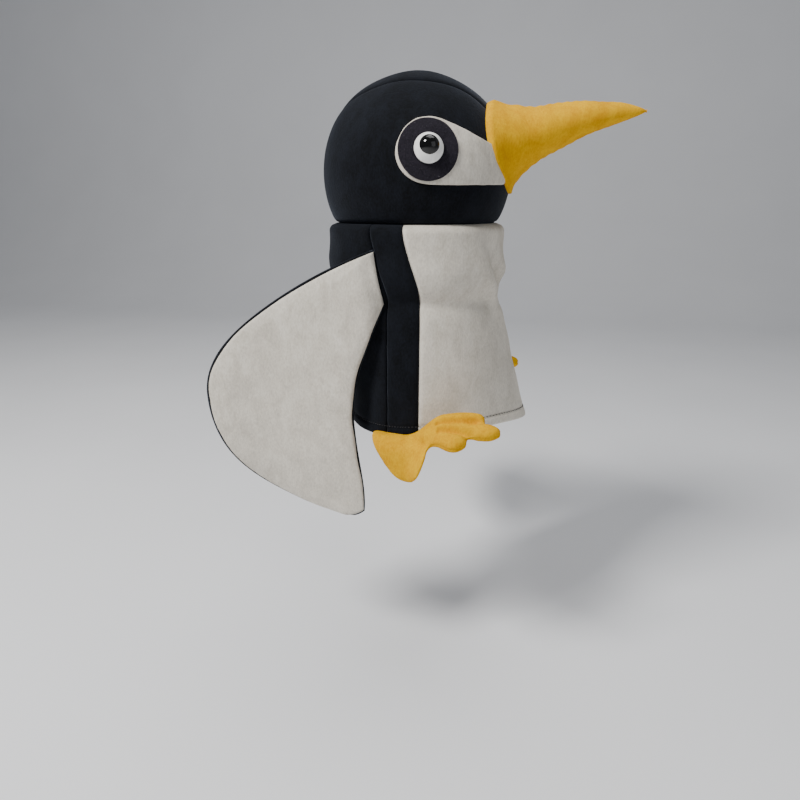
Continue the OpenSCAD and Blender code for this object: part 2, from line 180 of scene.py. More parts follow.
def surface(name, grid, around=False, weld=0.0):
    """A piece from a grid (rows, cols, 3); around joins the last column to the first, weld merges poles."""
    rows, cols = grid.shape[:2]
    index = np.arange(rows * cols).reshape(rows, cols)
    if around:
        index = np.hstack([index, index[:, :1]])
    piece = new_object(name, grid.reshape(-1, 3), grid_faces(index))
    if weld:
        tidy_mesh(piece, weld)
    return piece


def tidy_mesh(piece, weld):
    """Merges points closer than weld and turns all faces outwards."""
    work = bmesh.new()
    work.from_mesh(piece.data)
    bmesh.ops.remove_doubles(work, verts=work.verts, dist=weld)
    bmesh.ops.dissolve_degenerate(work, edges=work.edges, dist=weld / 10)
    bmesh.ops.recalc_face_normals(work, faces=work.faces)
    work.to_mesh(piece.data)
    work.free()
    piece.data.polygons.foreach_set("use_smooth", np.ones(len(piece.data.polygons), bool))


def read_points(piece):
    """The piece's vertices as an (n, 3) array."""
    flat = np.empty(len(piece.data.vertices) * 3)
    piece.data.vertices.foreach_get("co", flat)
    return flat.reshape(-1, 3)


def write_points(piece, points):
    """Puts an (n, 3) array back into the piece's vertices."""
    piece.data.vertices.foreach_set("co", points.reshape(-1))
    piece.data.update()


def apply_modifiers(piece):
    """Replaces the piece's mesh by what its modifiers make of it."""
    evaluated = piece.evaluated_get(bpy.context.evaluated_depsgraph_get())
    piece.data = bpy.data.meshes.new_from_object(evaluated)
    piece.modifiers.clear()


def thicken(piece, thickness):
    """Gives a cloth surface its thickness, on the inner side."""
    wall = piece.modifiers.new("cloth thickness", "SOLIDIFY")
    wall.thickness = thickness
    wall.offset = -1
    return piece


# %% [markdown]
# ## Materials
# The toy is made of short pile plush (velboa): fibres of about 1.5 mm stand out of a knitted backing,
# so it is matt from the front and glows softly at its edges, and the nap leans in patches that look
# lighter or darker. Black, white and yellow plush share one function. The felt disc, the moulded eyes
# and the threads are other finishes.


# %% Colours and nodes
def linear(code):
    """An sRGB hex code as linear red, green, blue and alpha."""
    levels = [int(code[i:i + 2], 16) / 255 for i in (1, 3, 5)]
    return (*[c / 12.92 if c <= 0.04045 else ((c + 0.055) / 1.055) ** 2.4 for c in levels], 1.0)


def add_node(tree, kind, settings=None, **inputs):
    """Adds a node: settings are its own properties, inputs are values or output sockets to link."""
    made = tree.nodes.new(kind)
    for key, value in (settings or {}).items():
        setattr(made, key, value)
    for key, value in inputs.items():
        socket = made.inputs[int(key[1:])] if key[1:].isdigit() else made.inputs[key.replace("_", " ")]
        if isinstance(value, bpy.types.NodeSocket):
            tree.links.new(value, socket)
        else:
            socket.default_value = value
    return made


def new_material(name, roughness, **values):
    """A material whose shader's constant sockets are set directly, its tree, and its Object coordinates."""
    material = bpy.data.materials.new(name)
    material.use_nodes = True
    tree = material.node_tree
    shader = tree.nodes["Principled BSDF"]
    shader.inputs["Roughness"].default_value = roughness
    for key, value in values.items():
        shader.inputs[key.replace("_", " ")].default_value = value
    return material, tree, add_node(tree, "ShaderNodeTexCoord").outputs["Object"]


def noise(tree, place, size, **values):
    """A noise whose features are about the given size."""
    return add_node(tree, "ShaderNodeTexNoise", Vector=place, Scale=1 / size, **values).outputs["Fac"]


def wire(tree, colour, relief=None, strength=0.0, depth=0.0):
    """Puts a colour, and a relief of a given depth, on the material's shader."""
    shader = tree.nodes["Principled BSDF"]
    tree.links.new(colour, shader.inputs["Base Color"])
    if relief is not None:
        lift = add_node(tree, "ShaderNodeBump", Height=relief, Strength=strength, Distance=depth)
        tree.links.new(lift.outputs["Normal"], shader.inputs["Normal"])


def ramp(tree, factor, low, high, start, end):
    """A ramp from one hex colour at start to another at end."""
    made = add_node(tree, "ShaderNodeValToRGB", Fac=factor)
    first, last = made.color_ramp.elements
    first.position, first.color = start, linear(low)
    last.position, last.color = end, linear(high)
    return made.outputs["Color"]


# %% Short pile plush
TUFT = 1.7 * MM          # a tuft of pile; real fibres are finer than a render shows
NAP = 14 * MM            # a patch in which the nap leans one way


def plush(name, dark, light, glow, sheen, depth):
    """Plush: tufts mottle and roughen the surface, and slow patches follow the lean of the nap."""
    material, tree, place = new_material(name, 0.92, Sheen_Weight=sheen, Sheen_Roughness=0.45,
                                         Sheen_Tint=linear(glow), Specular_IOR_Level=0.15)
    combed = add_node(tree, "ShaderNodeMapping", Vector=place, Scale=(1, 1, 0.55)).outputs["Vector"]
    tufts = noise(tree, combed, TUFT, Detail=3.0, Roughness=0.65)
    naps = noise(tree, combed, NAP, Detail=2.0, Distortion=0.6)
    mottle = add_node(tree, "ShaderNodeMix", {"data_type": "FLOAT"}, Factor=0.42, A=tufts, B=naps)
    wire(tree, ramp(tree, mottle.outputs["Result"], dark, light, 0.36, 0.64), tufts, 0.55, depth)
    return material


black_plush = plush("black short pile plush", "#020305", "#0f1219", "#6c7484", 0.30, 0.7 * MM)
white_plush = plush("white short pile plush", "#c0b9ac", "#dcd6ca", "#fff8ea", 0.15, 0.6 * MM)
yellow_plush = plush("yellow short pile plush", "#cc9000", "#e4b000", "#ffc800", 0.0, 0.6 * MM)


# %% Felt, moulded eyes, lining, thread, filling
def felt(name, dark, light, lint):
    """Pressed felt: matted fibres in swirls of about 2 mm, with pale flecks of lint."""
    material, tree, place = new_material(name, 0.95, Sheen_Weight=0.35, Sheen_Roughness=0.6,
                                         Sheen_Tint=linear("#8a8492"), Specular_IOR_Level=0.1)
    swirl = noise(tree, place, 2.2 * MM, Detail=5.0, Distortion=2.2)
    flecks = noise(tree, place, 1.3 * MM, Detail=2.0, Distortion=3.0)
    fleck = add_node(tree, "ShaderNodeMapRange", Value=flecks, **{"_1": 0.73, "_2": 0.80})
    colour = add_node(tree, "ShaderNodeMix", {"data_type": "RGBA"}, _0=fleck.outputs["Result"],
                      _6=ramp(tree, swirl, dark, light, 0.35, 0.68), _7=linear(lint))
    wire(tree, colour.outputs[2], swirl, 0.5, 0.5 * MM)
    return material


def moulded(name, dark, light, roughness, coat):
    """Injection-moulded plastic: even colour, with a faint unevenness in the gloss."""
    material, tree, place = new_material(name, roughness, IOR=1.49, Coat_Weight=coat, Coat_Roughness=0.04)
    cloud = noise(tree, place, 6 * MM, Detail=3.0)
    wire(tree, ramp(tree, cloud, dark, light, 0.4, 0.6))
    gloss = add_node(tree, "ShaderNodeMapRange", Value=cloud,
                     **{"_1": 0.3, "_2": 0.7, "_3": roughness * 0.7, "_4": roughness * 1.3})
    tree.links.new(gloss.outputs["Result"], tree.nodes["Principled BSDF"].inputs["Roughness"])
    return material


def woven(name, dark, light, pitch):
    """Plain weave: two crossed sets of threads at the given pitch, as wave bands along Z and slanting."""
    material, tree, place = new_material(name, 0.7, Sheen_Weight=0.2, Specular_IOR_Level=0.3)
    warp, weft = [add_node(tree, "ShaderNodeTexWave", {"bands_direction": way}, Vector=place,
                           Scale=0.31 / pitch, Distortion=0.4, Detail=1.0).outputs["Fac"]
                  for way in ("Z", "DIAGONAL")]
    cross = add_node(tree, "ShaderNodeMath", {"operation": "MAXIMUM"}, _0=warp, _1=weft).outputs["Value"]
    wire(tree, ramp(tree, cross, dark, light, 0.2, 0.9), cross, 0.4, 0.3 * MM)
    return material


dark_felt = felt("black pressed felt", "#0d0c11", "#26232b", "#b9b6bd")
eye_white = moulded("white moulded ABS", "#e9e9e6", "#f6f6f3", 0.16, 0.6)
eye_black = moulded("black polished acrylic", "#020202", "#040405", 0.03, 0.0)
washer_plastic = moulded("natural moulded nylon", "#b9b8b0", "#cfcec6", 0.4, 0.0)
lining_cloth = woven("woven polyester lining", "#0c0c0f", "#1d1d22", 1.1 * MM)
fibre = plush("loose polyester fibre", "#cfd0cf", "#f2f2ee", "#ffffff", 0.4, 1.5 * MM)
black_thread = woven("spun black thread", "#101014", "#2c2c32", 0.5 * MM)
print("materials:", len(bpy.data.materials))


def finish_piece(piece, body, material, slot, *nodes):
    """Gives a piece its material and its body, and hides the CAD nodes that it stands for; slot is not used.
    """
    piece.data.materials.clear()
    piece.data.materials.append(material)
    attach(piece, body)
    if nodes:
        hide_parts(*nodes)
    return piece


def grid_size(grid):
    """The longest row and the longest column of a grid of points, which its cloth is cut to."""
    along_rows = np.linalg.norm(np.diff(grid, axis=1), axis=2).sum(axis=1)
    along_columns = np.linalg.norm(np.diff(grid, axis=0), axis=2).sum(axis=0)
    return float(along_rows.max()), float(along_columns.max())


def sewn_sheet(piece, size, *rests_on):
    """Reads the flat area of the piece's own faces and does nothing more with it; rests_on, the pieces it is
    sewn over, is not used.
    """
    areas = np.empty(len(piece.data.polygons), np.float32)
    piece.data.polygons.foreach_get("area", areas)


# %% [markdown]
# ## The body tube
# Four panels of plush make a tube: white in front, a black strip on each side and black behind. The
# tube is the same rule as the CAD's: at each height an oval whose four reaches change from hem to neck,
# with a bow at the front of the hem. On top of it come the things that only cloth does: the waist
# crease where the wearer's crown ends, the slanting fold of the white front, and soft lumps.


# %% The tube as one rule
def tube_reach(z, hem, crown):
    """Hem to crown in a straight line, crown to neck in an S, then a quarter circle into the neck seam."""
    upper = smooth((z - crown_z) / (0.6 * (neck_z - crown_z)))
    reach = np.where(z < crown_z, mix(hem, crown, z / crown_z), mix(crown, neck_r, upper))
    tuck = np.clip((z - (neck_z - shoulder)) / shoulder, 0, 1)
    return reach - shoulder * (1 - np.sqrt(1 - tuck * tuck))


# The slanting fold in the white front: its valley, the high ridge on its right and the low one on its
# left. Each is how far the cloth stands out, then the middle and the half width of its bell across
# the fold, then the same along it, all in mm.
SLANT_FOLDS = [(-11.5, 2, 9, 0, 36), (6.5, -16, 11, 4, 42), (2.5, 19, 9, 6, 30)]
FOLD_GIRTH = 90 * MM     # usual radius, which turns an angle into a girth
FOLD_ANGLE = 0.25        # the fold's middle lies this far to the right of straight ahead
FOLD_UP = 20 * MM        # and this far above the crown
FOLD_ACROSS = np.array([0.81, 0.587])    # unit vector across it, in girth and height


def tube_folds(angle, z):
    """How far the cloth stands out of the plain tube (negative where it is pushed in)."""
    angle = (angle + math.pi) % (2 * math.pi) - math.pi
    ahead = np.clip(np.cos(angle) + 0.4, 0, 1)
    waist = -3.0 * MM * bump(z, crown_z + 4 * MM, 9 * MM) * (1 - 0.4 * np.clip(np.cos(angle), 0, 1))
    above = 2.5 * MM * bump(z, crown_z + 30 * MM, 16 * MM)
    girth = FOLD_GIRTH * (angle + FOLD_ANGLE)
    rise = z - (crown_z + FOLD_UP)
    off = FOLD_ACROSS[0] * girth + FOLD_ACROSS[1] * rise
    down = FOLD_ACROSS[1] * girth - FOLD_ACROSS[0] * rise
    slant = sum(out * MM * bump(off, off_at * MM, off_half * MM) * bump(down, down_at * MM, down_half * MM)
                for out, off_at, off_half, down_at, down_half in SLANT_FOLDS)
    notch = -3.5 * MM * bump(z, 150 * MM, 9 * MM) * bump(angle, 0.2, 0.5)
    drape = 1.6 * MM * (np.sin(angle * 5 + 0.6) - 0.4) * smooth((0.10 - z) / 0.10) * ahead
    return waist + above + slant + notch + drape


def tube(angle, z, inset=0.0):
    """Points of the tube: a superellipse in each plane of constant height, moved out by the folds."""
    ahead = np.cos(angle) >= 0
    out = tube_folds(angle, z) - inset
    long = np.where(ahead, tube_reach(z, hem_front, crown_front), tube_reach(z, hem_back, crown_back)) + out
    half = tube_reach(z, hem_half, crown_half) + out
    power = np.where(ahead, mix(hem_power, 2.0, np.clip(z / crown_z, 0, 1)), 2.0)
    x = long * signed_power(np.cos(angle), 2 / power)
    y = half * signed_power(np.sin(angle), 2 / power)
    return join_xyz(x, y, z)


def tube_angle(x, z):
    """The angle from straight ahead at which the plain tube's surface is at forward place x."""
    power = mix(hem_power, 2.0, np.clip(z / crown_z, 0, 1))
    front = np.arccos(np.clip(x / tube_reach(z, hem_front, crown_front), 0, 1) ** (power / 2))
    back = math.pi - np.arccos(np.clip(-x / tube_reach(z, hem_back, crown_back), 0, 1))
    return np.where(x >= 0, front, back)


def seam_x(z):
    """Forward place of the white front's edge: level up to the crown crease, then back to the neck."""
    start = crown_z + 4 * MM
    return mix(17 * MM, 0.0, smooth((z - start) / (neck_z - start)))


# %% The four panels, each turned under at the hem
PLUSH = 1.4 * MM         # thickness of the body's and the head's cloth
BEAK_PLUSH = 1.2 * MM    # thickness of the beak's
WING_PLUSH = 0.9 * MM    # and of the wing's white face
LINING = 0.8 * MM        # thickness of the lining and of the hem's facing
LINING_INSET = 6.2 * MM  # how far inside the tube's plain surface the lining lies
FACING_INSET = 4.6 * MM  # the facing
FIBRE_INSET = 7 * MM     # and the neck's filling
HEM_TURN = 12 * MM       # height of the turned hem
HEM_ROUND = 1.6 * MM     # radius of its folded edge
STITCH_Z = 11.5 * MM     # height of the row of stitches that holds it
SEAM_TUCK = np.array([0.5, 0.3]) * MM    # the seam allowance at the neck rises into the head


def hem_rows(count):
    """Heights and insets of a panel's rows: in at the neck, down the outside, round and up inside the hem."""
    outside = np.linspace(neck_z - 0.2 * MM, HEM_ROUND, count)
    turn = np.linspace(0, math.pi, 9)[1:-1]
    inside = np.linspace(HEM_ROUND, HEM_TURN, 6)
    z = np.concatenate([neck_z + SEAM_TUCK, outside, HEM_ROUND - HEM_ROUND * np.sin(turn), inside])
    inset = np.concatenate([[7 * MM, 2 * MM], 0 * outside, HEM_ROUND - HEM_ROUND * np.cos(turn),
                            0 * inside + 2 * HEM_ROUND])
    return z, inset


def hem_rise(angle, z):
    """The hem lifts a few millimetres over the front corners, which fades out 60 mm above it."""
    return 5 * MM * bump(np.abs(angle), 0.75, 0.5) * smooth((60 * MM - z) / (60 * MM))


def body_panel(name, first, last, cols, material, slot, node):
    """A panel between two seams, given as functions of height; its edges dip into the seams."""
    z, inset = hem_rows(110)
    z = z[:, None]
    share = np.linspace(0, 1, cols)[None, :]
    start, end = first(z), last(z)
    angle = mix(start, end, share)
    usual_r = 95 * MM
    from_seam = np.minimum(share, 1 - share) * (end - start) * usual_r
    seam = 2.6 * MM * np.exp(-from_seam / (1.7 * MM))
    stitched = 1.5 * MM * bump(z, STITCH_Z, 1.3 * MM) - 0.7 * MM * bump(z, 5 * MM, 4.5 * MM)
    stitched = np.where(inset[:, None] > 0, 0, stitched)
    top = 2.0 * MM * np.exp(-(neck_z - z) / (2 * MM))
    grid = tube(angle, z, inset[:, None] + seam + stitched + top)
    grid[..., 2] += hem_rise(angle, z)
    grid += unit(grid * (1, 1, 0)) * (0.5 * MM * lumps(grid, 34 * MM, 3))[..., None]
    piece = surface(name, grid[::-1])
    sewn_sheet(piece, grid_size(grid), "neck_fibre", "left_lining_cloth", "right_lining_cloth")
    finish_piece(thicken(piece, PLUSH), "hat", material, slot, node)
    print(name, len(piece.data.vertices), "points")


def front_edge(z):
    """The angle of the left seam between the white front and the strip."""
    return tube_angle(seam_x(z), z)


def back_edge(z):
    """The angle of the left seam between the strip and the back."""
    return tube_angle(seam_x(z) - strip_w, z)


body_panel("front_cloth", lambda z: -front_edge(z), front_edge, 190,
           white_plush, "white_plush", "front_panel")
body_panel("left_strip_cloth", front_edge, back_edge, 40, black_plush, "black_plush", "left_side_strip")
body_panel("right_strip_cloth", lambda z: -back_edge(z), lambda z: -front_edge(z), 40,
           black_plush, "black_plush", "right_side_strip")
body_panel("back_cloth", back_edge, lambda z: 2 * math.pi - back_edge(z), 130,
           black_plush, "black_plush", "back_panel")

# %% [markdown]
# ## Inside the tube
# The lining is a thin dark woven cap that follows the tube up from the turned hem and closes over the
# wearer's crown. Above it the neck is filled with loose fibre. Both are worked out from the same tube.


# %% Lining, facing and neck filling
def lining_grid(first, last):
    """Rows go up the tube's inside, then over a flattened dome: heights by sine, widths by cosine."""
    dome_low = crown_z / 2
    rise = np.linspace(0, math.pi / 2 - 0.002, 34)
    dome = mix(dome_low, crown_z - 4 * MM, np.sin(rise))
    z = np.concatenate([np.linspace(3 * MM, dome_low, 20)[:-1], dome])
    shrink = np.concatenate([np.ones(19), np.cos(rise)])
    angle = np.linspace(first, last, 90)[None, :]
    grid = tube(angle, np.minimum(z, dome_low)[:, None] + 0 * angle, LINING_INSET)
    grid[..., :2] *= shrink[:, None, None]
    grid[..., 2] = z[:, None] + hem_rise(angle, z[:, None])
    pucker = 0.8 * MM * np.sin(angle * 34) * bump(z[:, None], 3 * MM, 14 * MM)
    grid -= unit(grid * (1, 1, 0.001)) * pucker[..., None]
    return grid


for side, first in (("left", 0), ("right", math.pi)):
    half_grid = lining_grid(first, first + math.pi)
    half = surface(side + "_lining_cloth", half_grid)
    sewn_sheet(half, grid_size(half_grid), "neck_fibre", "hem_facing_tape")
    thicken(half, LINING)
    finish_piece(half, "hat", lining_cloth, "lining_cloth", "lining_" + side)

facing_z = np.linspace(2 * MM, 11 * MM, 8)[:, None]
facing_angle = full_turn(240)[None, :]
facing_grid = tube(facing_angle, facing_z, FACING_INSET)
facing_grid[..., 2] += hem_rise(np.minimum(facing_angle, 2 * math.pi - facing_angle), 0.0)
facing = surface("hem_facing_tape", facing_grid, around=True)
facing_girth = grid_size(facing_grid)[0]
sewn_sheet(facing, (facing_girth, HEM_TURN), "front_cloth", "back_cloth")
finish_piece(thicken(facing, LINING), "hat", black_plush, "black_plush", "hem_facing")

stuff_z = np.linspace(crown_z, neck_z - 4 * MM, 26)[:, None]
stuff_grid = tube(full_turn(120)[None, :], stuff_z, FIBRE_INSET)
middle_low = stuff_grid[:1] * (0, 0, 1)
middle_high = stuff_grid[-1:] * (0, 0, 1)
stuff_grid = np.concatenate([middle_low, stuff_grid, middle_high])
stuffing = surface("neck_fibre", stuff_grid, around=True, weld=1e-6)
finish_piece(stuffing, "hat", fibre, "fibre_filling", "neck_filling")
print("lining and neck filling made")

# %% [markdown]
# ## The head
# A stuffed ball of three panels: two sides and a gusset that runs over the top from the beak to the
# nape. Each side panel is a ruled patch on the sphere, between the seam line above it and the neck
# ring below it. Its points are pulled inwards near a seam, which makes the valley that sewing leaves.

# %% The head's seams and panels
gusset_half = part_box("head_gusset")[1].y
gusset_end = 6 * MM
gusset_bulge = gusset_half - gusset_end
gusset_r = (head_r ** 2 + gusset_bulge ** 2) / (2 * gusset_bulge)
neck_ring = math.sqrt(head_r ** 2 - (head_z - neck_z) ** 2)
head_middle = np.array([0, 0, head_z])


def gusset_width(turn):
    """Half width of the gusset, an arc in plan, where turn runs from the beak (0) over to the nape (pi)."""
    return np.sqrt(gusset_r ** 2 - (head_r * np.cos(turn)) ** 2) - (gusset_r - gusset_half)


def gusset_dir(turn, across):
    """Directions from the head's middle to the gusset: across is -1 at its right seam and 1 at its left."""
    y = across * gusset_width(turn)
    flat = np.sqrt(head_r ** 2 - y ** 2)
    return join_xyz(flat * np.cos(turn), y, flat * np.sin(turn)) / head_r


def seam_valley(gap):
    """Depth of a seam's valley at a distance from it."""
    return 2.4 * MM * np.exp(-gap / (1.9 * MM))


def head_skin(direction, gap):
    """Puts directions on the stuffed ball: its radius, soft lumps, and the valley of the nearest seam."""
    swell = 0.9 * MM * lumps(direction * head_r, 60 * MM, 11)
    puff = 1.0 * MM * (1 - np.exp(-gap / (16 * MM))) - 0.6 * MM
    return head_middle + direction * (head_r + swell + puff - seam_valley(gap))[..., None]


def side_panel(side):
    """Rows go from the upper seam (front middle line, gusset, back middle line) to the neck ring."""
    low = -math.asin((head_z - neck_z) / head_r)
    turn = np.concatenate([np.linspace(low, 0, 30)[:-1], np.linspace(0, math.pi, 150)[:-1],
                           np.linspace(math.pi, math.pi - low, 30)])
    over = np.clip(turn, 0, math.pi)
    on_gusset = (turn >= 0) & (turn <= math.pi)
    seam = gusset_dir(over, side)
    below = np.where(turn < 0, turn, turn - math.pi)
    drop = np.where(on_gusset, 0, np.abs(below))
    middle = join_xyz(np.where(turn < 0, 1, -1) * np.cos(drop), 0, -np.sin(drop))
    narrow = np.exp(-drop / 0.02)[:, None]
    blunt = unit(middle + narrow * side * np.array([0, gusset_end / head_r, 0]))
    seam = np.where(on_gusset[:, None], seam, blunt)
    bearing = np.linspace(0, math.pi, len(turn))
    ring = join_xyz(neck_ring * np.cos(bearing), side * neck_ring * np.sin(bearing), neck_z - head_z) / head_r
    share = np.linspace(0, 1, 110)[:, None, None] ** 0.9
    direction = unit(mix(seam[None], ring[None], share))
    gap = head_r * np.arccos(np.clip((direction * seam[None]).sum(-1), -1, 1))
    gap = np.minimum(gap, head_r * np.abs(direction[..., 2] - ring[0, 2]))
    grid = head_skin(direction, gap)
    below = grid[-1:] * (0.985, 0.985, 1) - (0, 0, 2.2 * MM)
    grid = np.concatenate([grid, below, below * (0.92, 0.92, 1)])
    return grid if side < 0 else grid[:, ::-1]


for side, word in ((-1, "right"), (1, "left")):
    panel = surface(word + "_head_cloth", side_panel(side), weld=1e-6)
    thicken(panel, PLUSH)
    finish_piece(panel, "hat", black_plush, "black_plush", "head_" + word + "_panel")

over = np.linspace(0, math.pi, 170)[:, None]
across = np.linspace(-1, 1, 70)[None, :]
gusset_gap = (1 - np.abs(across)) * gusset_width(over)
gusset = surface("head_gusset_cloth", head_skin(gusset_dir(over, across), gusset_gap), weld=1e-6)
thicken(gusset, PLUSH)
finish_piece(gusset, "hat", black_plush, "black_plush", "head_gusset")

FILL_INSET = 6 * MM      # the filling lies this far inside the ball
FILL_FOOT = 5 * MM       # and ends this far above the neck seam
lowest_drop = math.acos((neck_z + FILL_FOOT - head_z) / (head_r - FILL_INSET))
fill_drop = np.linspace(0, lowest_drop, 40)[:, None]
fill_turn = full_turn(80)[None, :]
fill_grid = (head_r - FILL_INSET) * join_xyz(
    np.sin(fill_drop) * np.cos(fill_turn), np.sin(fill_drop) * np.sin(fill_turn), np.cos(fill_drop))
fill_grid = np.concatenate([fill_grid, fill_grid[-1:] * (0, 0, 1)]) + head_middle
head_fibre = surface("head_fibre", fill_grid, around=True, weld=1e-6)
finish_piece(head_fibre, "hat", fibre, "fibre_filling", "head_filling")
print("head panels and filling made")

# %% [markdown]
# ## The beak
# Two side panels of yellow plush, sewn together along the top and the bottom, stuffed firmly and sewn
# on the face round a rim. Sections across the beak are ovals that are pinched at the two seams. Their
# height follows the CAD's rule: a straight taper with a quick flare towards the face.

# %% The beak
beak_root_x = head_r - 3 * MM
beak_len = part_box("beak_filling")[1].x + 2.5 * MM - beak_root_x
beak_half_h = 38 * MM
beak_half_w = 44 * MM
beak_rim_half_w = 60 * MM
beak_rim_half_h = 44 * MM
beak_rim_up = 31 * MM
beak_rise = 31 * MM
beak_tip_r = 5 * MM
beak_root_up = 25 * MM


def beak_section(turn, s, out=0.0):
    """An oval at share s of the length: half sizes taper as (1 - s)(0.72 + 0.28 exp(-s / 0.12))."""
    taper = (1 - s) * (0.72 + 0.28 * np.exp(-s / 0.12))
    blunt = beak_tip_r * np.sqrt(1 - s ** 8)
    high = (beak_half_h - beak_tip_r) * taper + blunt + out
    wide = (beak_half_w - beak_tip_r) * taper + blunt + out
    x = beak_root_x + beak_len * s
    z = head_z + beak_root_up + beak_rise * (1 - (1 - s) ** 2) + high * np.sin(turn)
    return join_xyz(x, wide * np.cos(turn), z)


def beak_rim(turn, out=0.0):
    """The rim on the face: an oval on an upright plane, carried out on to the head's surface."""
    aim = join_xyz(head_r - 14 * MM, beak_rim_half_w * np.cos(turn),
                   beak_rim_up + beak_rim_half_h * np.sin(turn))
    return head_middle + unit(aim) * (head_r + out + 0 * turn)[..., None]


def beak_grid(first, last):
    """Rows run from the rim to the tip, each a blend of the rim and the oval sections."""
    turn = np.linspace(first, last, 90)[None, :]
    s = (np.linspace(0, 1, 150) ** 1.15)[:, None]
    ovals = beak_section(turn, np.clip(s, 0, 0.9999))
    rim = beak_rim(turn, mix(-1.0 * MM, 3.0 * MM, smooth(s / 0.012)))
    hold = np.exp(-(s / 0.055) ** 1.3)[..., None]
    grid = mix(ovals, rim + (s * beak_len * 0.5)[..., None] * np.array([1, 0, 0.1]), hold)
    side = np.abs(np.cos(turn))
    seam = 1.7 * MM * np.exp(-side * 30 * MM * (1.05 - s) / (1.6 * MM))
    pinch = 2.2 * MM * bump(side, 0, 0.35) * (1 - s)
    crease = 1.0 * MM * bump(s, 0.06, 0.03) - 0.9 * MM * bump(s, 0.0, 0.012)
    puckers = 0.5 * MM * np.sin(s * 95) * bump(side, 0.12, 0.22) * (1 - s)
    inward = unit(grid - join_xyz(grid[..., 0], 0 * side, beak_section(0 * turn, s)[..., 2]))
    grid += inward * (pinch - seam - crease + puckers + 0.5 * MM * lumps(grid, 26 * MM, 5))[..., None]
    return grid


for word, first in (("left", -math.pi / 2), ("right", math.pi / 2)):
    panel = surface(word + "_beak_cloth", beak_grid(first, first + math.pi))
    thicken(panel, BEAK_PLUSH)
    finish_piece(panel, "hat", yellow_plush, "yellow_plush", "beak_" + word + "_panel")
print("beak made")

# %% [markdown]
# ## The eyes
# Each eye is a stack on the side of the head: a white plush patch that tapers to the beak, a disc of
# black felt, a white moulded ball held by its shank, and a domed black pupil.


# %% The eye's place, the patch and the felt
eye_x = 23.5 * MM
eye_up = 18 * MM


# The patch seen from the side, forward and up from the eye's middle: under the beak, over the top,
# round behind the eye and along its straight lower edge
PATCH_CORNERS = np.array([
    (66, 2), (54, 6.5), (38, 14), (22, 21), (8, 26.2), (-2, 27.6), (-13, 25.2), (-21.5, 18.5),
    (-27.2, 8), (-29.2, -2), (-27, -12), (-21, -20.5), (-12, -26.5), (0, -29.3), (20, -29.8),
    (40, -29.6), (60, -29), (68, -26), (70, -10)]) * MM


def eye_axis(side):
    """The direction from the head's middle to an eye."""
    return np.array([eye_x, side * math.sqrt(head_r ** 2 - eye_x ** 2 - eye_up ** 2), eye_up]) / head_r


def on_head(side, x, z, height):
    """Points on the ball with the given forward place and height above its middle, raised by height."""
    y = side * np.sqrt(np.maximum(head_r ** 2 - x ** 2 - z ** 2, 1e-6))
    return head_middle + unit(np.stack([x, y, z], -1)) * (head_r + height)[..., None]


def patch_grid(side):
    """Rings from the patch's middle to its outline; the cloth is level and rounds down at its edge."""
    edge = closed_curve(PATCH_CORNERS, 14)
    middle = np.array([4, -2]) * MM
    share = np.concatenate([np.linspace(0, 0.94, 26), np.linspace(0.95, 1.0, 9)])[:, None, None]
    flat = middle + share * (edge - middle)[None]
    share = share[..., 0] + 0 * flat[..., 0]
    round_edge = np.sqrt(np.clip(1 - ((share - 0.94) / 0.06).clip(0, 1) ** 2, 0, 1))
    height = mix(-2.0 * MM, 2.4 * MM, round_edge) + 0.25 * MM * lumps(np.dstack([flat, 0 * share]), 9 * MM, 8)
    return on_head(side, eye_x + flat[..., 0], eye_up + flat[..., 1], height)


def closed_curve(corners, steps):
    """A smooth closed curve through the corners (Catmull-Rom), with the given steps between corners."""
    a, b = np.roll(corners, 1, 0), corners
    c, d = np.roll(corners, -1, 0), np.roll(corners, -2, 0)
    f = np.linspace(0, 1, steps, endpoint=False)[:, None, None]
    square, cube = 2 * a - 5 * b + 4 * c - d, 3 * b - a - 3 * c + d
    curve = 0.5 * (2 * b + (c - a) * f + square * f ** 2 + cube * f ** 3)
    return curve.transpose(1, 0, 2).reshape(-1, corners.shape[1])


def round_about(side, profile, steps, base, raised=0.0):
    """A turned shape on the eye's axis: profile rows are (radius, height) and base is the height's zero."""
    axis = eye_axis(side)
    across = unit(np.cross(axis, [0, 0, 1]))
    up = np.cross(across, axis)
    turn = full_turn(steps)[None, :, None]
    radius, height = profile[:, 0][:, None, None], profile[:, 1][:, None, None]
    middle = head_middle + axis * (base + height) + up * raised
    return middle + radius * (np.cos(turn) * across + np.sin(turn) * up)


def felt_profile():
    """The disc's section: level on top, a cut edge 1.5 mm thick, and bent to the ball below."""
    r = np.concatenate([np.linspace(0, 26.2, 30), [26.8, 27, 26.9, 26.5], np.linspace(26, 0, 20)]) * MM
    lift = np.concatenate([np.full(30, 1.5), [1.3, 0.8, 0.3, 0.0], np.zeros(20)]) * MM
    return np.stack([r, lift], -1)


def dome_profile(width, height, rim):
    """A moulded dome: an arc from its crown to its rim, a small rounded rim and a flat underside."""
    r = (width ** 2 / 4 + height ** 2) / (2 * height)
    half = math.asin(min(1, width / 2 / r))
    turn = np.linspace(0, half, 36)
    top = np.stack([r * np.sin(turn), height + rim - r + r * np.cos(turn)], -1)
    edge = np.array([[0.12, 0.7], [0.1, 0.3], [-0.3, 0]]) * rim + (width / 2, 0)
    return np.concatenate([top, edge, [[0, 0]]])


# %% Build both eyes
felt_base = head_r + 2.3 * MM
FELT_BEND = 0.93         # the disc follows the ball's curve to this share
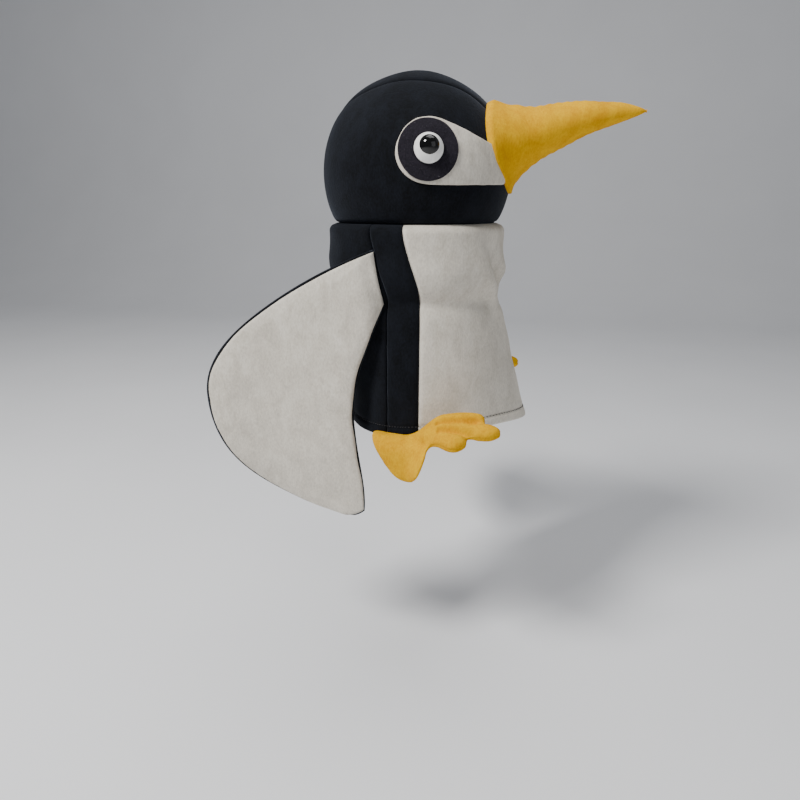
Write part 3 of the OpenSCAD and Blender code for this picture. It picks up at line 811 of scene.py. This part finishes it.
# The moulded pieces, in mm: width, height and rim, how far above the felt's underside it starts, and
# how far it sits above the eye's middle
MOULDED_EYE = [("_eye_ball", (26, 6.5, 1.6), 1.4, 0, eye_white, "white_eye_plastic", "_eyeball"),
               ("_eye_pupil", (17.5, 5.5, 1.0), 6.0, 1.3, eye_black, "black_eye_plastic", "_pupil")]
for side, word in ((-1, "right"), (1, "left")):
    patch = surface(word + "_patch_cloth", patch_grid(side), around=True, weld=1e-6)
    finish_piece(patch, "hat", white_plush, "white_plush", word + "_eye_patch")

    disc_grid = round_about(side, felt_profile(), 140, felt_base)
    axis = eye_axis(side)
    away = disc_grid - head_middle - axis * ((disc_grid - head_middle) @ axis)[..., None]
    sag = (away ** 2).sum(-1) / (2 * head_r) * FELT_BEND
    disc_grid -= axis * sag[..., None]
    disc_grid += axis * (0.35 * MM * lumps(disc_grid, 22 * MM, 4))[..., None]
    disc = surface(word + "_felt_disc", disc_grid, around=True, weld=1e-6)
    finish_piece(disc, "hat", dark_felt, "dark_felt", word + "_eye_felt")

    for name, shape, base, raised, material, slot, node in MOULDED_EYE:
        dome = dome_profile(*(np.array(shape) * MM))
        grid = round_about(side, dome, 96, felt_base + base * MM, raised * MM)
        finish_piece(surface(word + name, grid, around=True, weld=1e-6), "hat", material, slot, word + node)
print("eyes made")

# %% [markdown]
# ## Blowing up the pads
# Wings and feet are two layers of plush with filling between them. A flat pillow is made first, then
# Blender's cloth is run on it with air pressure inside and no gravity, as the filling would push. The
# sewn edge is held, and no point may move further than a cap.


# %% Cloth with pressure
def held_group(piece, weights):
    """A vertex group whose weights hold points in place, in steps of a tenth."""
    group = piece.vertex_groups.new(name="held")
    steps = np.round(weights, 1)
    for level in np.unique(steps[steps > 0]):
        group.add(np.nonzero(steps == level)[0].tolist(), float(level), "REPLACE")
    return group.name


def inflate(piece, pressure, cap, held, frames=16):
    """Runs Cloth on the piece and keeps the result: each point moves at most cap from where it was."""
    start = read_points(piece)
    cloth = piece.modifiers.new("Cloth", "CLOTH")
    cloth.settings.quality = 5
    cloth.settings.mass = 0.2
    cloth.settings.tension_stiffness = 12
    cloth.settings.compression_stiffness = 6
    cloth.settings.bending_stiffness = 0.4
    cloth.settings.use_pressure = True
    cloth.settings.uniform_pressure_force = pressure
    cloth.settings.vertex_group_mass = held
    cloth.settings.effector_weights.gravity = 0
    for number in range(1, frames + 1):
        scene.frame_set(number)
    shaped = piece.evaluated_get(bpy.context.evaluated_depsgraph_get())
    end = np.empty(len(shaped.data.vertices) * 3)
    shaped.data.vertices.foreach_get("co", end)
    piece.modifiers.remove(cloth)
    scene.frame_set(1)
    move = end.reshape(-1, 3) - start
    far = np.linalg.norm(move, axis=1, keepdims=True)
    move *= np.minimum(1, cap / np.maximum(far, 1e-9))
    write_points(piece, start + move)
    print(piece.name, "swelled by at most", round(float(far.max()) / MM, 1), "mm, cap", round(cap / MM, 1))
    return start + move


# %% [markdown]
# ## The wings
# A wing is a big flat leaf: black plush behind, white plush in front, thin wadding between. Its outline
# is two curves from the seam to the tip, and the leaf is ruled between them. The black cloth is cut a
# little larger and shows as a thin rim round the white.

# %% The wing's outline, ruled from its inner edge to its outer edge
root_top = np.array([-28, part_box("right_wing_back")[1].z / MM]) * MM
root_low = np.array([-18.5, 135]) * MM
wing_reach = -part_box("right_wing_back")[0].x
wing_drop = -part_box("right_wing_back")[0].z
left_splay = math.radians(60)


def bezier(points, steps):
    """A cubic Bezier curve through its first and last point, pulled by the two between."""
    a, b, c, d = np.array(points)
    f = np.linspace(0, 1, steps)[:, None]
    g = 1 - f
    return g ** 3 * a + 3 * g * g * f * b + 3 * g * f * f * c + f ** 3 * d


def spread(curve, count):
    """The same curve with its points an even distance apart."""
    run = np.concatenate([[0], np.cumsum(np.linalg.norm(np.diff(curve, axis=0), axis=1))])
    at = np.linspace(0, run[-1], count)
    return np.stack([np.interp(at, run, curve[:, k]) for k in (0, 1)], -1)


wide = np.array([-wing_reach, 40 * MM])
tip_out = np.array([-60 * MM, -wing_drop + 1.5 * MM])
tip_in = np.array([-40 * MM, -wing_drop + 8 * MM])
outer_edge = np.concatenate([
    bezier([root_top, root_top + np.array([-62, -23]) * MM, wide + (0, 65 * MM), wide], 60)[:-1],
    bezier([wide, wide - (0, 80 * MM), tip_out + np.array([-72, 8]) * MM, tip_out], 60)])
waist = np.array([-49, 15]) * MM
inner_edge = np.concatenate([
    bezier([root_low, root_low + np.array([-14, -42]) * MM, np.array([-51, 62]) * MM, waist], 40)[:-1],
    bezier([waist, np.array([-46, -30]) * MM, np.array([-37, -55]) * MM, tip_in], 40)])
ROWS, COLS = 96, 64
LEAF_LONG = 270 * MM     # the leaf's length from root to tip along its rows
outer_edge = spread(outer_edge, ROWS)
inner_edge = spread(inner_edge, ROWS)


def leaf(across):
    """The wing's flat points (x, z): rows from root to tip, columns from inner to outer edge."""
    flat = mix(inner_edge[:, None], outer_edge[:, None], across[None, :, None])
    down = np.linspace(0, 1, ROWS)[:, None] ** 12 * np.sin(across * math.pi)[None]
    flat[..., 1] -= 3 * MM * down
    return flat


def edge_gap(flat):
    """Distance of each point from the nearest of the four edges, measured along its row or column."""
    row = np.linalg.norm(outer_edge - inner_edge, axis=1)[:, None]
    across = np.linspace(0, 1, flat.shape[1])[None]
    down = np.linspace(0, 1, ROWS)[:, None]
    return np.minimum(np.minimum(across, 1 - across) * row, np.minimum(down, 1 - down) * LEAF_LONG)


def pad_rise(gap, half):
    """A quilted edge: a quarter ellipse 10 mm wide up to half the pad's thickness."""
    f = np.clip(gap / (10 * MM), 0, 1)
    return half * quarter_round(f)


def wing_bend(flat):
    """How the hanging leaf bows out of its plane: the trailing edge curls and a long fold crosses it."""
    x, z = flat[..., 0], flat[..., 1]
    curl = 9 * MM * smooth((-x - 120 * MM) / (90 * MM))
    hang = 5 * MM * smooth((-z - 10 * MM) / (80 * MM))
    ripple = 1.6 * MM * np.sin((x + 0.6 * z) / (24 * MM))
    free = smooth((-x - 25 * MM) / (60 * MM))
    return (curl + ripple - hang) * free


ROOT_STANDS_OFF = 0.7 * MM       # the leaf's middle stays this far outside the tube at its seam


def root_pull(flat):
    """How far the leaf is drawn in to its seam on the tube, which lies behind the tube's widest part."""
    along = unit(root_top - root_low)
    away = np.abs((flat[..., 0] - root_low[0]) * along[1] - (flat[..., 1] - root_low[1]) * along[0])
    seam_y = -tube(-tube_angle(flat[..., 0], flat[..., 1]), flat[..., 1])[..., 1]
    return np.clip(-mid_y - seam_y - ROOT_STANDS_OFF, 0, 9 * MM) * bump(away, 0, 9 * MM)


across = np.linspace(0, 1, COLS)
flat = leaf(across)
gap = edge_gap(flat)
half_wing = wing_t / 2 - 2.0 * MM
mid_y = -wing_y - wing_t / 2
rise = pad_rise(gap, half_wing)
front_grid = np.stack([flat[..., 0], mid_y - rise, flat[..., 1]], -1)
back_grid = np.stack([flat[..., 0], mid_y + rise, flat[..., 1]], -1)
front_index = np.arange(ROWS * COLS).reshape(ROWS, COLS)
back_index = front_index.copy()
back_index[1:-1, 1:-1] = ROWS * COLS + np.arange((ROWS - 2) * (COLS - 2)).reshape(ROWS - 2, COLS - 2)
pad_points = np.concatenate([front_grid.reshape(-1, 3), back_grid[1:-1, 1:-1].reshape(-1, 3)])
pad_faces = grid_faces(front_index) + grid_faces(back_index[:, ::-1])
wing_pad = new_object("right_wing_pad", pad_points, pad_faces)
tidy_mesh(wing_pad, 1e-7)
on_edge = np.zeros(len(pad_points))
on_edge[front_index[gap < 1e-6]] = 1.0
pad_points = inflate(wing_pad, 1.2, 1.2 * MM, held_group(wing_pad, on_edge))

# %% Bow the leaf, lay the white cloth on it, and copy it to the left side
pad_points[:, 1] += root_pull(pad_points[:, [0, 2]]) - wing_bend(pad_points[:, [0, 2]])
write_points(wing_pad, pad_points)
row_width = np.linalg.norm(outer_edge - inner_edge, axis=1)[:, None]
INNER_RIM, OUTER_RIM = 0.7 * MM, 1.9 * MM    # how much black shows beside the white along each edge
at = mix(INNER_RIM / row_width, 1 - OUTER_RIM / row_width, across[None]) * (COLS - 1)
before = np.clip(at.astype(int), 0, COLS - 2)
rows = np.arange(ROWS)[:, None]
ROW_STEP = 2.8 * MM      # usual distance between two rows
cloth_grid = pad_points[front_index]
face_grid = mix(cloth_grid[rows, before], cloth_grid[rows, before + 1], (at - before)[..., None])
cut = np.minimum(np.minimum(across, 1 - across)[None] * row_width, (ROWS - 1 - rows) * ROW_STEP)
trim = np.clip(cut / (2.5 * MM), 0, 1)
face_grid[..., 1] -= mix(-0.6 * MM, 1.2 * MM, quarter_round(trim))
face_grid[..., 1] -= 0.25 * MM * lumps(face_grid, 30 * MM, 21)
wing_face = surface("right_wing_face", face_grid[:-1])


def wing_to_left(points):
    """Mirrors the folded right wing and turns it out about its seam, which leans back a little."""
    hinge = np.array([root_low[0], wing_y, root_low[1]])
    axis = unit(np.array([root_top[0] - root_low[0], 0, root_top[1] - root_low[1]]))
    arm = points * (1, -1, 1) - hinge
    c, s = math.cos(-left_splay), math.sin(-left_splay)
    turned = arm * c + np.cross(axis, arm) * s + axis * (arm @ axis)[..., None] * (1 - c)
    return hinge + turned


def copy_to_left(piece, name, place):
    """A mirrored copy of a piece, moved by a function of its points, with its faces turned back out."""
    twin = piece.copy()
    twin.data = piece.data.copy()
    twin.name = twin.data.name = name
    scene.collection.objects.link(twin)
    write_points(twin, place(read_points(twin)))
    twin.data.flip_normals()
    return twin


def foot_to_left(points):
    """Mirrors the right foot; the left one is sewn a little further forward and its toes lie higher."""
    lifted = points * (1, -1, 1) + np.array([18 * MM, 0, 0])
    lifted[:, 2] += 15 * MM * smooth(points[:, 0] / (70 * MM))
    return lifted


wing_low, wing_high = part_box("right_wing_front")
wing_cut = (wing_high.x - wing_low.x, wing_high.z - wing_low.z)
left_pad = copy_to_left(wing_pad, "left_wing_pad", wing_to_left)
left_face = copy_to_left(wing_face, "left_wing_face", wing_to_left)
for pad, face, word in ((wing_pad, wing_face, "right"), (left_pad, left_face, "left")):
    sewn_sheet(face, wing_cut, pad.name)
    thicken(face, WING_PLUSH)
    body = word + "_wing"
    finish_piece(pad, body, black_plush, "black_plush", body + "_back", body + "_wadding")
    finish_piece(face, body, white_plush, "white_plush", body + "_front")
print("wings made")

# %% [markdown]
# ## The feet
# A foot is one flat pattern with a round heel and three toes, cut twice from yellow plush, sewn round
# and stuffed. It is made lying flat, remeshed and blown up there, and only then bent: the heel hangs
# from the hem and the toes twist outwards until they lie almost level.

# %% The foot's pattern, lying flat
foot_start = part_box("right_foot_top")[0].x / MM
toe_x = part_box("right_foot_top")[1].x / MM
foot_y = hem_half + 6 * MM
foot_hinge_z = 0
toe_lift = 24 * MM
toe_slope = math.radians(22)
heel_drop = 50
foot_corners = np.array([
    (foot_start, 0), (-12, -1), (6, 0), (30, -3), (60, -11), (toe_x - 20, -10), (toe_x - 17, 0),
    (toe_x - 29, 5), (toe_x - 12, 4), (toe_x, 12), (toe_x - 11, 21), (toe_x - 31, 22),
    (toe_x - 33, 33), (55, 40), (38, 31), (27, 19), (29, heel_drop - 16), (17, heel_drop - 1),
    (-3, heel_drop - 3), (-20, heel_drop - 24)]) * MM
foot_outline = closed_curve(foot_corners, 12)


def foot_spine(p):
    """The point of the foot's middle line that an outline point is filled from."""
    x = np.clip(p[..., 0], -2 * MM, 58 * MM)
    return np.stack([x, mix(22 * MM, 12 * MM, smooth(x / (40 * MM)))], -1)


def from_outline(flat):
    """Distance of flat points (..., 2) from the pattern's outline."""
    return np.linalg.norm(flat[..., None, :] - foot_outline[::2], axis=-1).min(-1)


def from_line(flat, start, end):
    """Distance of flat points from the stretch between two points."""
    start, end = np.array(start) * MM, np.array(end) * MM
    along = np.clip((flat - start) @ (end - start) / ((end - start) @ (end - start)), 0, 1)
    return np.linalg.norm(flat - start - along[..., None] * (end - start), axis=-1)


# Where the cloth is drawn in: across the bend of the heel, and from each notch back between the toes
VALLEY_HALF = 3.4 * MM
FOOT_VALLEYS = [((8, -2), (28, 22), 0.62), ((76, 4), (40, 9), 0.72), ((72, 22), (42, 20), 0.72)]

share = (np.linspace(1, 0.0, 26) ** 0.7)[:, None, None]
spine = foot_spine(foot_outline)
foot_flat = spine[None] + share * (foot_outline - spine)[None]
plump = np.clip(from_outline(foot_flat) / (13 * MM), 0, 1)
foot_rise = 9.5 * MM * quarter_round(plump)
upper = np.dstack([foot_flat, foot_rise])
lower = np.dstack([foot_flat, -foot_rise])
foot = surface("right_foot_pad", np.concatenate([lower[::-1], upper[1:]]), around=True, weld=2e-4)
remesh = foot.modifiers.new("Remesh", "REMESH")
remesh.mode = "VOXEL"
remesh.voxel_size = 2.6 * MM
apply_modifiers(foot)
print("foot remeshed:", len(foot.data.vertices), "points")

# %% Blow it up, draw in the seam, then bend it into place
TOES_OUT = 1.5 * MM      # the toes stand this much further out than the seam on the hem
HEEL_IN = 4.5 * MM       # the heel's seam is drawn in to the hem
HEEL_UP = 5 * MM         # and overlaps it from outside


def foot_place(points):
    """Carries the flat foot to the hem: the pattern turns from hanging to nearly level along its length."""
    turn = smooth((points[:, 0] - 4 * MM) / (40 * MM))
    angle = mix(math.pi / 2, toe_slope, turn)
    root_y = mix(foot_y, foot_y + TOES_OUT, turn)
    root_z = mix(foot_hinge_z, toe_lift, turn)
    b, rise = points[:, 1], points[:, 2]
    sewn = bump(np.maximum(b, 0), 0, 9 * MM) * (1 - turn)
    y = root_y + b * np.cos(angle) + rise * np.sin(angle) - HEEL_IN * sewn
    z = root_z - b * np.sin(angle) + rise * np.cos(angle) + HEEL_UP * (1 - turn)
    return np.stack([points[:, 0], -y, z], -1)


foot_points = read_points(foot)
seam_hold = np.where(np.abs(foot_points[:, 2]) < 1.2 * MM, 0.8, 0.0)
foot_points = inflate(foot, 9.0, 5 * MM, held_group(foot, seam_hold))
finer = foot.modifiers.new("Subdivision", "SUBSURF")
finer.levels = finer.render_levels = 1
apply_modifiers(foot)
foot.vertex_groups.clear()
foot_points = read_points(foot)
on_seam = bump(foot_points[:, 2], 0, 0.9 * MM) * bump(from_outline(foot_points[:, :2]), 0, 4 * MM)
pull = unit(np.dstack([foot_spine(foot_points[:, :2])[None] - foot_points[None, :, :2]])[0])
foot_points[:, :2] += pull * (0.9 * MM * on_seam)[:, None]
valley = np.zeros(len(foot_points))
for start, end, deep in FOOT_VALLEYS:
    valley = np.maximum(valley, deep * bump(from_line(foot_points[:, :2], start, end), 0, VALLEY_HALF))
foot_points[:, 2] *= 1 - valley
write_points(foot, foot_place(foot_points))
foot.data.polygons.foreach_set("use_smooth", np.ones(len(foot.data.polygons), bool))
tidy_mesh(foot, 1e-6)
left_foot = copy_to_left(foot, "left_foot_pad", foot_to_left)
for piece, word in ((foot, "right"), (left_foot, "left")):
    body = word + "_foot"
    finish_piece(piece, body, yellow_plush, "yellow_plush", body + "_top", body + "_sole", body + "_filling")
print("feet made")

# %% [markdown]
# ## Stitches
# The turned hem is held by one row of dark thread, 3.6 mm to the stitch. Each stitch is a short
# bead that is thick in its middle and dips at its ends, laid on the tube at the stitch line.

# %% The hem's row of stitches
STITCH = 3.6 * MM
HEM_LONG = 580 * MM      # about the length of the hem
count = int(HEM_LONG / STITCH)
start_angle = np.arange(count) * 2 * math.pi / count
along = np.linspace(0, 0.62 * 2 * math.pi / count, 6)
angle = start_angle[:, None] + along[None]
wrapped = (angle + math.pi) % (2 * math.pi) - math.pi
line = tube(wrapped, np.full_like(wrapped, STITCH_Z), 0.6 * MM)
line[..., 2] += hem_rise(wrapped, STITCH_Z)
outward = unit(line * (1, 1, 0))
arch = np.sin(np.linspace(0, math.pi, 6))[None, :, None]
line = line + outward * (0.7 * MM * arch)
thread_r = 0.42 * MM * (0.35 + 0.65 * arch)
ring_turn = full_turn(6)[None, None, :, None]
rings = (line[:, :, None] + thread_r[:, :, None] * (np.cos(ring_turn) * outward[:, :, None]
                                                    + np.sin(ring_turn) * np.array([0, 0, 1.0])))
base = (np.arange(count) * 36)[:, None, None]
ring_index = np.arange(36).reshape(6, 6)
ring_index = np.hstack([ring_index, ring_index[:, :1]])[None] + base
quads = np.stack([ring_index[:, :-1, :-1], ring_index[:, :-1, 1:],
                  ring_index[:, 1:, 1:], ring_index[:, 1:, :-1]], -1)
caps = np.concatenate([ring_index[:, 0, :6][:, ::-1], ring_index[:, -1, :6]])
stitches = new_object("hem_stitches", rings.reshape(-1, 3), quads.reshape(-1, 4).tolist() + caps.tolist())
tidy_mesh(stitches, 1e-7)
finish_piece(stitches, "hat", black_thread, "black_plush")
print("stitches:", count)

# %% [markdown]
# ## Pieces that stay as the CAD made them
# The filling of the beak and the washers are hidden inside the cap. They keep their CAD shapes and
# only get their finishes.

# %% Finishes for the hidden CAD pieces
for node, material in (("beak_filling", fibre),
                       ("left_eye_washer", washer_plastic), ("right_eye_washer", washer_plastic)):
    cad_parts[node].data.materials.clear()
    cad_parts[node].data.materials.append(material)

# %% [markdown]
# ## Floor and light
# A plain pale floor that sweeps up behind, one large soft light from the upper left, a weaker one from
# the right and an even pale sky.


# %% Floor, backdrop and lights
def paper(name, dark, light):
    """Matt studio paper: one pale colour with a very faint cloudiness."""
    material, tree, place = new_material(name, 0.9, Specular_IOR_Level=0.1)
    wire(tree, ramp(tree, noise(tree, place, 1 / 3, Detail=2.0), dark, light, 0.3, 0.7))
    return material


sweep = np.linspace(0, math.pi / 2, 24)
floor_y = np.concatenate([[-9.0, 0.0], 2.2 + 1.2 * np.sin(sweep), [3.4]])
floor_z = -0.30 + np.concatenate([[0.0, 0.0], 1.2 - 1.2 * np.cos(sweep), [8.0]])
floor_x = np.linspace(-11, 11, 12)
floor = surface("studio_paper", join_xyz(floor_x[None], floor_y[:, None], floor_z[:, None]))
floor.data.materials.append(paper("pale studio paper", "#edeef1", "#f0f1f4"))


def soft_light(name, place, aim, size, power, colour):
    """A square area light that looks at a point."""
    light = bpy.data.objects.new(name, bpy.data.lights.new(name, "AREA"))
    light.data.shape = "SQUARE"
    light.data.size = size
    light.data.energy = power
    light.data.color = colour
    light.location = place
    light.rotation_mode = "QUATERNION"
    light.rotation_quaternion = (Vector(place) - Vector(aim)).to_track_quat("Z", "Y")
    scene.collection.objects.link(light)
    return light


soft_light("key", (-1.0, -1.1, 1.7), (0, 0, 0.15), 0.55, 62, (1.0, 0.985, 0.96))
soft_light("fill", (1.5, -1.0, 0.7), (0, 0, 0.1), 1.4, 5, (0.93, 0.96, 1.0))
soft_light("top", (0.2, 0.3, 1.9), (0, 0, 0.1), 1.2, 12, (1.0, 1.0, 1.0))
world = bpy.data.worlds.new("studio")
world.use_nodes = True
world.node_tree.nodes["Background"].inputs["Color"].default_value = (0.78, 0.80, 0.83, 1)
world.node_tree.nodes["Background"].inputs["Strength"].default_value = 0.24
scene.world = world
